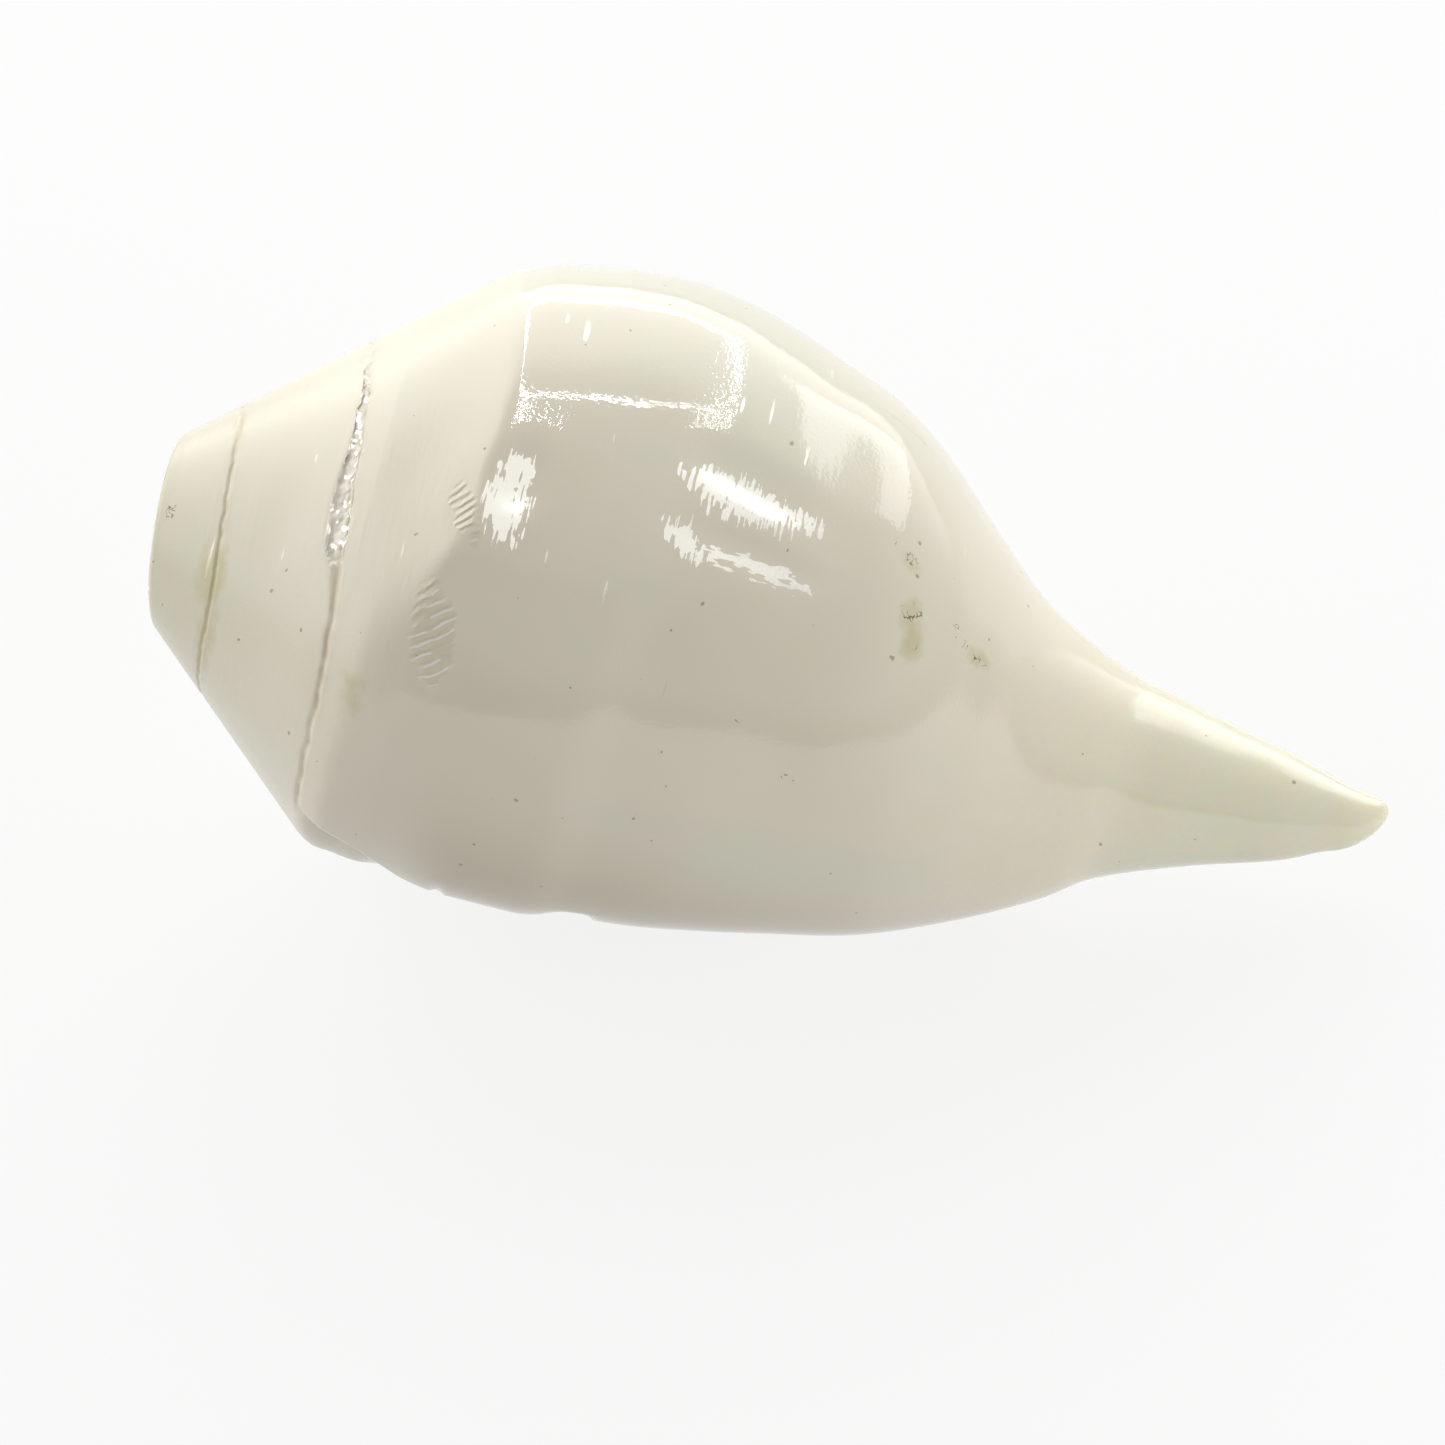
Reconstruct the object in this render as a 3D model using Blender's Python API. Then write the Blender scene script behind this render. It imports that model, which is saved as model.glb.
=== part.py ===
"""Blowing conch shell: one heavy, right-handed chank shell, lying with its aperture down.

Metres, +Z up. The shell is first made round its coiling axis, which runs along X from the
point where the spire would end (x = 0) to the tip of the canal. Turns are counted in degrees
from the top of the shell towards the near side (-Y), which is the way the shell grew. The
finished shell is then turned and lowered so that it lies on its lip and its belly.
"""
from math import cos, pi, radians, sin

import bmesh
import bpy
import numpy as np
from mathutils import Matrix, Vector

MM = 0.001

# Growth
WHORL_GROWTH = 1.70        # how much larger each turn is than the one before
# Where the outer lip ends: distance from the spire's point, degrees from the top
LIP_TURN = [(38, 112), (42, 115), (46, 123), (50, 130), (56, 134), (70, 136), (80, 138),
            (100, 150), (115, 161), (130, 169), (145, 174), (160, 176)]
SPIRE_SLOPE = 0.869        # radius gained per length along the flat-sided spire
BELLY_SCALE = 0.767        # the whorl behind the aperture, against the back of the shell
CANAL_PILLAR = 9.0 * MM    # radius of the pillar that runs on into the canal
RECESS_DEPTH = 0.36        # share of its radius that the wall beside the aperture is set in
RECESS_FROM = 44.0 * MM
RECESS_TO = 76.0 * MM
RECESS_WIDTH = 75.0        # degrees round from the lip

# Length
CUT_X = 12.7 * MM          # where the spire is cut off flat
CUT_LEAN = 0.12            # the cut isn't quite square to the axis
TIP_X = 160.4 * MM
TIP_ROUND = 6.0 * MM       # length over which the tip rounds off
TIP_LIFT = 2.3 * MM        # how far the tip lies off the axis, towards the back
TIP_LIFT_TURN = -35.0      # degrees from the top

# Outline of the back, half a turn behind the lip: distance from the spire's point, radius
BACK = [(45.5, 39.7), (52, 41.0), (58, 42.1), (64.5, 42.5), (71, 41.8), (77.5, 40.1),
        (84, 37.8), (91, 35.2), (98, 30.7), (106, 23.6), (113.7, 17.3), (121, 13.5),
        (127.5, 10.9), (134, 9.3), (140.5, 7.8), (146.5, 6.6), (153, 5.0), (158, 4.0)]
# Outline along the outer lip
LIP = [(46, 33.6), (54, 34.4), (62, 34.4), (68, 33.4), (76, 32.6), (84, 31.2), (92, 29.5),
       (101, 27.5), (111.8, 23.5), (122.4, 18.1), (127.5, 14.4), (138.5, 9.9), (149.6, 6.2),
       (155, 3.6), (158, 3.2)]

# Hollow: its section half a turn behind the lip, and at the lip
HOLLOW_BACK = [(43.5, 29), (46.5, 33.3), (50.5, 35.8), (58, 37.0), (66, 37.2), (75, 36.0),
               (84, 33.2), (92, 29.8), (99, 24.8), (106.5, 17.0), (107, 9.5), (99, 6.6),
               (95.5, 8.4), (92, 6.6), (88.5, 8.6), (85, 6.8), (81.5, 9.0), (78, 7.8),
               (72, 9.2), (66, 12.0), (60, 17.5), (54, 22.0), (48, 25.3)]
HOLLOW_LIP = [(47, 29.6), (50, 30.8), (54, 31.0), (61, 30.9), (69, 29.8), (79, 28.6),
              (89, 26.8), (98, 25.0), (108, 21.8), (119, 16.0), (122, 10.0), (106, 7.2),
              (102, 9.0), (98.5, 7.2), (95, 9.2), (91.5, 7.4), (88, 9.6), (84, 8.4),
              (78, 11.0), (71, 15.0), (65, 19.6), (59, 23.6), (53, 27.4)]
HOLLOW_INNER_SCALE = 0.66  # a full turn behind the lip, against half a turn behind it
INNERMOST_SCALE = 0.33     # where the hollow ends, just under the cut
STRAIGHT_LIP_FROM = 60.0 * MM  # behind this the hollow doesn't follow the lip's bend
BLOW_HOLE_RADIUS = 5.2 * MM
BLOW_HOLE_DEPTH = 9.0 * MM

# Canal
CANAL_FROM = 98.0 * MM
CANAL_WIDEST_AT = 120.0 * MM
CANAL_START_RADIUS = 1.5 * MM
CANAL_WIDEST_RADIUS = 4.8 * MM
CANAL_END_RADIUS = 2.2 * MM
CANAL_BESIDE_LIP = 12.0    # degrees from the lip to the middle of the channel

# Suture: the seam between one whorl and the next
SUTURE_AT_LIP = 35.4 * MM
SUTURE_WANDER = 0.055
SUTURE_WIDTH = 1.5 * MM
SUTURE_DEPTH = 1.1 * MM

# Chips in the edge of the outer lip: distance from the spire's point, width, depth
CHIPS = [(52.5, 3.0, 0.9), (69.5, 5.0, 1.6)]

# Rest
ROLL = -4.5                 # degrees round the coiling axis
TILT = 13.2                 # degrees, canal end down

ROUND_STEPS = 60
LENGTH_STEPS = 52


def smooth(t):
    t = min(max(t, 0.0), 1.0)
    return t * t * (3.0 - 2.0 * t)


def along(points, x):
    """Height of the smooth curve through the points, in metres."""
    xs = [p[0] * MM for p in points]
    ys = [p[1] * MM for p in points]
    if x <= xs[0]:
        return ys[0]
    if x >= xs[-1]:
        return ys[-1]
    i = max(k for k in range(len(xs) - 1) if xs[k] <= x)
    slopes = [(ys[k + 1] - ys[k]) / (xs[k + 1] - xs[k]) for k in range(len(xs) - 1)]

    def tangent(k):
        if k in (0, len(xs) - 1):
            return slopes[min(k, len(slopes) - 1)]
        before, after = slopes[k - 1], slopes[k]
        return 0.0 if before * after <= 0 else 2.0 * before * after / (before + after)

    step = xs[i + 1] - xs[i]
    t = (x - xs[i]) / step
    rise = (2 * t**3 - 3 * t**2 + 1) * ys[i] + (3 * t**2 - 2 * t**3) * ys[i + 1]
    lean = (t**3 - 2 * t**2 + t) * tangent(i) + (t**3 - t**2) * tangent(i + 1)
    return rise + lean * step


def lip_turn(x):
    """Degrees from the top at which the lip ends, at x."""
    return along(LIP_TURN, x) / MM


def outer_radius(x, back_turn):
    """Radius of the outside at x, back_turn degrees (0 to 360) behind the lip."""
    back = along(BACK, x)
    if back_turn < 180.0:
        share = smooth(back_turn / 180.0)
        radius = along(LIP, x) * (1.0 - share) + back * share
    else:
        share = (back_turn - 180.0) / 180.0
        belly = along(BACK, x / BELLY_SCALE) * BELLY_SCALE
        recess = RECESS_DEPTH * smooth((x - RECESS_FROM) / (RECESS_TO - RECESS_FROM))
        belly *= 1.0 - recess * smooth(1.0 - (360.0 - back_turn) / RECESS_WIDTH)
        pillar = min(back, CANAL_PILLAR)
        belly = 0.5 * (belly + pillar + ((belly - pillar) ** 2 + (2.0 * MM) ** 2) ** 0.5)
        belly = min(belly, back)
        radius = back * (1.0 - share) + belly * share
    spire = x * SPIRE_SLOPE
    blend = 3.0 * MM
    share = min(max(0.5 + 0.5 * (radius - spire) / blend, 0.0), 1.0)
    radius = radius * (1.0 - share) + spire * share - blend * share * (1.0 - share)
    return radius * max(1.0 - past_canal(x) ** 2, 0.12) ** 0.5


def past_canal(x):
    """How far x lies along the rounded tip, from 0 to 1."""
    return max(0.0, x - (TIP_X - TIP_ROUND)) / TIP_ROUND


def around(x, radius, turn):
    """The point at this turn from the top, in degrees."""
    return Vector((x, -radius * sin(radians(turn)), radius * cos(radians(turn))))


def new_object(name, mesh, collection):
    bmesh.ops.recalc_face_normals(mesh, faces=mesh.faces)
    data = bpy.data.meshes.new(name)
    mesh.to_mesh(data)
    mesh.free()
    made = bpy.data.objects.new(name, data)
    collection.objects.link(made)
    return made


def loft(name, rings, collection):
    """A closed solid through rings of points, all of the same number."""
    mesh = bmesh.new()
    made = [[mesh.verts.new(point) for point in ring] for ring in rings]
    for first, second in zip(made, made[1:]):
        for i, corner in enumerate(first):
            j = (i + 1) % len(first)
            mesh.faces.new((corner, first[j], second[j], second[i]))
    mesh.faces.new(made[0])
    mesh.faces.new(list(reversed(made[-1])))
    return new_object(name, mesh, collection)


def cut(target, cutter):
    boolean = target.modifiers.new(cutter.name, "BOOLEAN")
    boolean.operation = "DIFFERENCE"
    boolean.solver = "EXACT"
    boolean.object = cutter


def make_outside(collection):
    """The outside as one solid, the spire cut off flat. The step at the lip is its last face."""
    start, end = 7.0 * MM, TIP_X
    shares = [i / (LENGTH_STEPS - 1) for i in range(LENGTH_STEPS)]
    places = [start + (end - start) * (share + 0.035 * sin(2 * pi * share)) for share in shares]
    step = 3.0
    back_turns = [(360.0 - step) * (1.0 - i / (ROUND_STEPS - 1)) for i in range(ROUND_STEPS)]
    rings = []
    for x in places:
        lift = around(0.0, TIP_LIFT * past_canal(x) ** 2, TIP_LIFT_TURN)
        rings.append([around(x, outer_radius(x, back_turn), lip_turn(x) - back_turn) + lift
                      for back_turn in back_turns])
    outside = loft("shell", rings, collection)
    mesh = bmesh.new()
    mesh.from_mesh(outside.data)
    everything = mesh.verts[:] + mesh.edges[:] + mesh.faces[:]
    cut_made = bmesh.ops.bisect_plane(mesh, geom=everything, plane_co=(CUT_X, 0.0, 0.0),
                                      plane_no=(1.0, 0.0, CUT_LEAN), clear_inner=True)
    rim = [g for g in cut_made["geom_cut"] if isinstance(g, bmesh.types.BMEdge)]
    bmesh.ops.contextual_create(mesh, geom=rim)
    bmesh.ops.recalc_face_normals(mesh, faces=mesh.faces)
    mesh.to_mesh(outside.data)
    mesh.free()
    return outside


def hollow_scale(back_turn):
    """Size of the hollow against its size half a turn behind the lip."""
    if back_turn < 360.0:
        return HOLLOW_INNER_SCALE ** ((back_turn - 180.0) / 180.0)
    return HOLLOW_INNER_SCALE * WHORL_GROWTH ** ((360.0 - back_turn) / 360.0)


def hollow_ring(back_turn):
    """Section of the hollow, back_turn degrees behind the lip."""
    if back_turn >= 180.0:
        scale = hollow_scale(back_turn)
        section = [(x * scale, r * scale) for x, r in HOLLOW_BACK]
    else:
        share = smooth(max(back_turn, 0.0) / 180.0)
        section = [(a[0] * (1 - share) + b[0] * share, a[1] * (1 - share) + b[1] * share)
                   for a, b in zip(HOLLOW_LIP, HOLLOW_BACK)]
    if back_turn < 0.0:
        lift = -back_turn / 12.0
        outer = HOLLOW_BACK.index(max(HOLLOW_BACK))
        section = [(x, r + lift * (9.0 if i < outer else 3.0)) for i, (x, r) in enumerate(section)]
    return [around(x * MM, r * MM, lip_turn(max(x * MM, STRAIGHT_LIP_FROM)) - back_turn)
            for x, r in section]


def make_hollow(collection):
    """The spiral chamber, from the aperture up to the cut spire."""
    last = 180.0
    while hollow_scale(last) > INNERMOST_SCALE:
        last += 20.0
    turns = [-12.0, 0.0, 12.0, 28.0]
    while turns[-1] < last:
        turns.append(turns[-1] + (16.0 if turns[-1] < 400.0 else 22.0))
    return loft("hollow", [hollow_ring(turn) for turn in turns], collection)


def make_blow_hole(collection):
    rings = []
    for x in (CUT_X - 4.0 * MM, CUT_X + BLOW_HOLE_DEPTH):
        rings.append([around(x, BLOW_HOLE_RADIUS, 15.0 * i) for i in range(24)])
    return loft("blow_hole", rings, collection)


def make_canal(collection):
    """The open channel along the underside of the canal."""
    rings = []
    end = TIP_X + 3.0 * MM
    for i in range(14):
        x = CANAL_FROM + (end - CANAL_FROM) * i / 13.0
        if x < CANAL_WIDEST_AT:
            share = smooth((x - CANAL_FROM) / (CANAL_WIDEST_AT - CANAL_FROM))
            radius = CANAL_START_RADIUS * (1 - share) + CANAL_WIDEST_RADIUS * share
        else:
            share = (x - CANAL_WIDEST_AT) / (end - CANAL_WIDEST_AT)
            radius = CANAL_WIDEST_RADIUS * (1 - share) + CANAL_END_RADIUS * share
        outside = outer_radius(min(x, TIP_X - TIP_ROUND), 340.0)
        middle = around(x, max(outside - 0.45 * radius, 0.0), lip_turn(x) + CANAL_BESIDE_LIP)
        rings.append([middle + Vector((0.0, radius * cos(a), radius * sin(a)))
                      for a in (2 * pi * k / 14 for k in range(14))])
    return loft("canal", rings, collection)


def suture_x(back_turn):
    """Where the seam lies, back_turn degrees behind the lip. It wanders a little near the top."""
    x = SUTURE_AT_LIP * WHORL_GROWTH ** (-back_turn / 360.0)
    from_top = (LIP_TURN[0][1] - back_turn + 180.0) % 360.0 - 180.0
    return x * (1.0 + SUTURE_WANDER * (1.0 - smooth((abs(from_top) - 60.0) / 60.0)))


def make_suture(collection):
    """A V-shaped groove that follows the seam from the cut spire to the lip."""
    rings = []
    steps = 54
    for i in range(steps + 1):
        back_turn = 880.0 * (1.0 - i / steps)
        x = suture_x(back_turn)
        turn = lip_turn(x) - back_turn
        radius = x * SPIRE_SLOPE
        half = SUTURE_WIDTH * 0.5
        rings.append([around(x - half - 0.6 * MM, radius - half * SPIRE_SLOPE + 0.6 * MM, turn),
                      around(x + SUTURE_DEPTH * 0.6, radius - SUTURE_DEPTH * 0.8, turn),
                      around(x + half, radius + half * SPIRE_SLOPE + 0.8 * MM, turn)])
    return loft("suture", rings, collection)


def make_chips(collection):
    """One wedge for each chip, across the edge of the outer lip."""
    made = []
    for number, (x, width, depth) in enumerate(CHIPS):
        x *= MM
        edge = outer_radius(x, 0.0)
        rings = []
        for back_turn in (-6.0, 4.0 + depth):
            reach = depth * MM if back_turn < 0.0 else 0.1 * MM
            turn = lip_turn(x) - back_turn
            rings.append([around(x - width * 0.5 * MM, edge + 1.0 * MM, turn),
                          around(x - width * 0.1 * MM, edge - reach, turn),
                          around(x + width * 0.3 * MM, edge - reach, turn),
                          around(x + width * 0.5 * MM, edge + 1.0 * MM, turn)])
        made.append(loft("chip_%d" % number, rings, collection))
    return made


def lay_down(shell):
    """Turns the shell to the way it rests and puts its box's bottom centre at the origin."""
    bpy.context.view_layer.update()
    graph = bpy.context.evaluated_depsgraph_get()
    data = bpy.data.meshes.new_from_object(shell.evaluated_get(graph))
    shell.modifiers.clear()
    shell.data = data
    data.transform(Matrix.Rotation(radians(TILT), 4, "Y") @ Matrix.Rotation(radians(ROLL), 4, "X"))
    points = np.array([v.co for v in data.vertices])
    low, high = points.min(axis=0), points.max(axis=0)
    data.transform(Matrix.Translation((-(low[0] + high[0]) / 2, -(low[1] + high[1]) / 2, -low[2])))


def main():
    for old in list(bpy.data.objects):
        bpy.data.objects.remove(old, do_unlink=True)
    kept = bpy.data.collections.new("blowing_conch_shell")
    cutters = bpy.data.collections.new("cutters")
    bpy.context.scene.collection.children.link(kept)
    bpy.context.scene.collection.children.link(cutters)
    cutters.hide_render = True

    shell = make_outside(kept)
    shapes = [make(cutters) for make in (make_hollow, make_blow_hole, make_canal, make_suture)]
    for cutter in shapes + make_chips(cutters):
        cutter.hide_render = True
        cutter.display_type = "WIRE"
        cut(shell, cutter)
    lay_down(shell)

    polished = bpy.data.materials.new("polished_shell")
    polished.use_nodes = True
    base = polished.node_tree.nodes["Principled BSDF"]
    base.inputs["Base Color"].default_value = (0.80, 0.77, 0.72, 1.0)
    base.inputs["Roughness"].default_value = 0.2
    shell.data.materials.clear()
    shell.data.materials.append(polished)


main()
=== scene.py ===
"""Blowing conch shell: the polished shell, its finish, and a plain stage.

The shell is a right-handed chank shell with its spire cut off flat. It is first shaped round its
coiling axis, in millimetres: x runs from the point where the spire would end to the tip of the
canal, and turns are counted in degrees from the top of the shell towards the near side, the way
the shell grew. The shaped shell is then tilted and set down as the CAD solid lies.
"""
from math import cos, pi, radians, sin

import bpy
import numpy as np
from mathutils import Matrix, Vector, noise


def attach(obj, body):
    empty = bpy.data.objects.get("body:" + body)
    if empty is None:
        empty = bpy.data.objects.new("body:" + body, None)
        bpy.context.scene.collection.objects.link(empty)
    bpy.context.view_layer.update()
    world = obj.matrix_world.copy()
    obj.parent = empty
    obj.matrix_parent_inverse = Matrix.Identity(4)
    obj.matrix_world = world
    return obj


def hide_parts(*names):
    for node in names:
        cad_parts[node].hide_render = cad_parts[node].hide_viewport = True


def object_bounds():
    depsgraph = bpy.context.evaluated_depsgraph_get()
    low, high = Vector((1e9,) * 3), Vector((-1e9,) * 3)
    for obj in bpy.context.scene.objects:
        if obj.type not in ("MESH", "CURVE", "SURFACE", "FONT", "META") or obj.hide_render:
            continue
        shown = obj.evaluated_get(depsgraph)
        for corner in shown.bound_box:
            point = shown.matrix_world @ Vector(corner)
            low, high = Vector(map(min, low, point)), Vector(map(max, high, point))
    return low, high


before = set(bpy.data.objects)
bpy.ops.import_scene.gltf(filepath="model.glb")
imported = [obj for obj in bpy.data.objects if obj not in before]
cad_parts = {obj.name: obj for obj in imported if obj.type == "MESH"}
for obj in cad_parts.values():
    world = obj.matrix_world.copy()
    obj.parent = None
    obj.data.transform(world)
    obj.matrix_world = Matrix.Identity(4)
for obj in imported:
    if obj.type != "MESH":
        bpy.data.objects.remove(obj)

bl_info = {
    "name": "Blowing conch shell",
    "version": (1, 0, 0),
    "blender": (4, 5, 0),
    "location": "View3D > Sidebar > Conch",
    "description": "Models a polished blowing conch shell and sets a plain stage for it",
    "category": "Object",
}

MM = 0.001
CAD_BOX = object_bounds()

# Growth, as in the solid
WHORL_GROWTH = 1.70
SPIRE_SLOPE = 0.869        # radius gained per length along the flat-sided spire
SLANT = (1.0 + SPIRE_SLOPE**2) ** 0.5  # length down the spire's side per length along the axis
BELLY_SCALE = 0.767        # the whorl behind the aperture, against the back of the shell
CANAL_PILLAR = 9.0         # radius of the pillar that runs on into the canal
PILLAR_BLEND = 2.0         # how softly the belly runs into the pillar
LEAST_LIP_STEP = 0.12      # how far the lip always stands above the wall beside it
BODY_REACH = 5.0           # length from the suture over which the spire turns into the body
PLAIN_SHOULDER_BLEND = 3.0  # how softly the spire runs into the body, off the near side
RECESS_DEPTH = 0.36        # share of its radius that the wall beside the aperture is set in
RECESS_FROM, RECESS_TO = 44.0, 76.0
RECESS_TURN = 75.0         # degrees over which the recess rises to the plain wall
# Distance from the spire's point, and where the lip ends in degrees from the top
LIP_TURN = [(38, 112), (42, 115), (46, 123), (50, 130), (56, 134), (70, 136), (80, 138),
            (100, 150), (115, 161), (130, 169), (145, 174), (160, 176)]
# Distance from the spire's point, and radius, half a turn behind the lip
BACK = [(45.5, 39.7), (52, 41.0), (58, 42.1), (64.5, 42.5), (71, 41.8), (77.5, 40.1),
        (84, 37.8), (91, 35.2), (98, 30.7), (106, 23.6), (113.7, 17.3), (121, 13.5),
        (127.5, 10.9), (134, 9.3), (140.5, 7.8), (146.5, 6.6), (153, 5.0), (158, 4.0)]
# The same along the outer lip
LIP = [(46, 33.6), (54, 34.4), (62, 34.4), (68, 33.4), (76, 32.6), (84, 31.2), (92, 29.5),
       (101, 27.5), (111.8, 23.5), (122.4, 18.1), (127.5, 14.4), (138.5, 9.9), (149.6, 6.2),
       (155, 3.6), (158, 3.2)]

# Ends
CUT_X = 12.7               # where the spire is cut off flat
CUT_LEAN = 0.12            # the cut isn't quite square to the axis
CUT_ROUND = 0.7            # radius of the polished rim of the cut
TIP_X = 160.4
TIP_ROUND = 6.0            # length over which the tip rounds off
ROUNDED_FROM = TIP_X - TIP_ROUND
TIP_LIFT = 2.3             # how far the tip lies off the axis, towards the back
TIP_LIFT_TURN = -35.0      # degrees from the top

# Hollow: its section half a turn behind the lip, and at the lip
HOLLOW_BACK = [(43.5, 29), (46.5, 33.3), (50.5, 35.8), (58, 37.0), (66, 37.2), (75, 36.0),
               (84, 33.2), (92, 29.8), (99, 24.8), (106.5, 17.0), (107, 9.5), (99, 6.6),
               (95.5, 8.4), (92, 6.6), (88.5, 8.6), (85, 6.8), (81.5, 9.0), (78, 7.8),
               (72, 9.2), (66, 12.0), (60, 17.5), (54, 22.0), (48, 25.3)]
HOLLOW_LIP = [(47, 29.6), (50, 30.8), (54, 31.0), (61, 30.9), (69, 29.8), (79, 28.6),
              (89, 26.8), (98, 25.0), (108, 21.8), (119, 16.0), (122, 10.0), (106, 7.2),
              (102, 9.0), (98.5, 7.2), (95, 9.2), (91.5, 7.4), (88, 9.6), (84, 8.4),
              (78, 11.0), (71, 15.0), (65, 19.6), (59, 23.6), (53, 27.4)]
HOLLOW_INNER_SCALE = 0.66
INNERMOST_SCALE = 0.33
STRAIGHT_LIP_FROM = 60.0   # nearer the spire than this the hollow doesn't follow the lip's bend
HOLLOW_STEP = 5.0          # degrees from one ring of its cutter to the next
CURVE_STEPS = 3            # corners of a ring for each point of its section
# The cutter runs on past the lip, so that the aperture is open: degrees, and how far its outer
# and inner sides rise there
PAST_LIP_TURN, PAST_LIP_LIFTS = 12.0, (9.0, 3.0)
BLOW_HOLE_RADIUS, BLOW_HOLE_ROUND = 5.2, 0.8
BLOW_HOLE_DEPTHS = (-3.0, -1.0, 0.0, 0.1, 0.25, 0.5, 0.8, 9.0)  # below the cut, of its rings
CANAL_FROM, CANAL_WIDEST_AT = 98.0, 120.0
CANAL_START_RADIUS, CANAL_WIDEST_RADIUS, CANAL_END_RADIUS = 1.5, 4.8, 2.2
CANAL_BESIDE_LIP = 12.0    # degrees from the lip to the middle of the channel
CANAL_OUTSIDE_TURN = 340.0  # degrees behind the lip where the channel cuts the outside
CANAL_SUNK = 0.45          # how deep its middle lies, as a share of its radius
CANAL_PAST_TIP = 3.0       # how far its cutter runs past the tip
CANAL_RINGS, CANAL_CORNERS, BLOW_HOLE_CORNERS = 60, 40, 64

# Suture: the seam between one whorl and the next
SUTURE_AT_LIP = 35.4
SUTURE_WANDER = 0.055      # share by which the seam strays towards the canal near the top
WANDER_TURNS = (60.0, 120.0)  # degrees from the top: strays fully, not at all
WANDER_WHORLS = 0.6        # the body follows the stray seam over this share of a whorl
JAG_REACH = 1.6            # how far from the seam its small jags are felt
JAG_SIZES = (0.16, 0.50)   # how far the seam jags: everywhere, and more where it is open
# Degrees behind the lip, depth of the groove, width of its slope on the older whorl
SUTURE = [(-5, 0.0, 0.6), (3, 0.28, 0.9), (52, 0.30, 0.9), (62, 0.45, 2.0), (68, 0.60, 3.0),
          (75, 0.62, 3.1), (82, 0.58, 2.6), (88, 0.50, 1.9), (94, 0.40, 1.4), (102, 0.34, 1.1),
          (112, 0.28, 0.9), (137, 0.20, 0.5), (182, 0.25, 0.7), (227, 0.40, 1.3), (267, 0.22, 0.6),
          (337, 0.20, 0.6), (447, 0.24, 0.7), (517, 0.18, 0.5), (1100, 0.18, 0.5)]
SUTURE_RISE = 0.35         # width of the steep side, the edge of the younger whorl
# Degrees behind the lip over which the seam opens, left so by the grinding, and closes again
OPEN_FROM, OPEN_TO = (61.0, 66.0), (116.0, 124.0)
OPEN_FLOOR = 0.55          # share of the open recess's width that is flat
CHIP_HEIGHT, CHIP_SIZE = 0.22, 1.1

# Shoulder: the edge between the ground spire and the round body. It is crisp on the near side:
# degrees from the top, distance from the spire's point, radius of the edge, and how far it rises
# from the round body towards the full cone
SHOULDER = [(-180, 45.7, 3.0, 0.3), (-40, 45.7, 2.4, 0.3), (-10, 45.8, 1.0, 0.3),
            (15, 47.2, 0.5, 0.42), (30, 46.9, 0.5, 0.60), (37, 46.5, 0.6, 0.68),
            (43, 45.4, 0.9, 0.74), (48, 44.4, 1.4, 0.78), (61, 44.0, 2.2, 0.85),
            (75, 43.5, 3.0, 0.9), (180, 45.7, 3.0, 0.9)]
SHOULDER_REACH = 14.0      # length over which the body falls away from the edge
SHOULDER_FROM, SHOULDER_TO = (-24.0, 12.0), (42.0, 66.0)  # degrees: fades in, fades out

# The older whorl drops away under the end of the lip: by how much, and over how many degrees
UNDER_LIP_DEPTH, UNDER_LIP_TURN = 1.3, 28.0
UNDER_LIP_FROM, UNDER_LIP_TO = (35.6, 40.6), (46.0, 52.0)  # distance from the spire's point

# Small waves of the ground surface: height, size, and where in the noise they are taken
WAVES = [(0.05, 15.0, 1.0), (0.012, 5.5, 2.0)]
WAVES_FROM, WAVES_TO = (14.0, 20.0), (120.0, 150.0)  # distance from the spire's point

# Shallow dents: place along the axis, degrees from the top, half length, half width above and
# below, depth, and lean in degrees
DENTS = [(75.0, 19.5, 10.0, 5.5, 2.7, 0.72, 9.0), (75.5, 30.5, 12.0, 3.4, 2.3, 0.55, 4.0),
         (50.3, 30.0, 4.6, 7.5, 4.6, 0.85, 8.0), (86.0, 4.0, 9.0, 8.0, 8.0, 0.24, 6.0),
         (45.6, 35.0, 2.4, 5.0, 5.0, 0.22, -10.0), (40.5, 26.0, 5.0, 9.0, 9.0, 0.20, 5.0),
         (37.0, 70.0, 5.0, 9.0, 9.0, 0.18, 8.0), (27.0, 40.0, 4.5, 9.0, 9.0, 0.16, 0.0),
         (64.0, -75.0, 16.0, 9.0, 9.0, 0.22, 10.0), (84.0, -110.0, 12.0, 7.0, 7.0, 0.20, -8.0),
         (52.0, 88.0, 12.0, 8.0, 8.0, 0.16, 4.0), (41.0, -60.0, 5.0, 10.0, 10.0, 0.22, 0.0),
         (40.0, -120.0, 5.0, 8.0, 8.0, 0.22, 12.0)]
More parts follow.
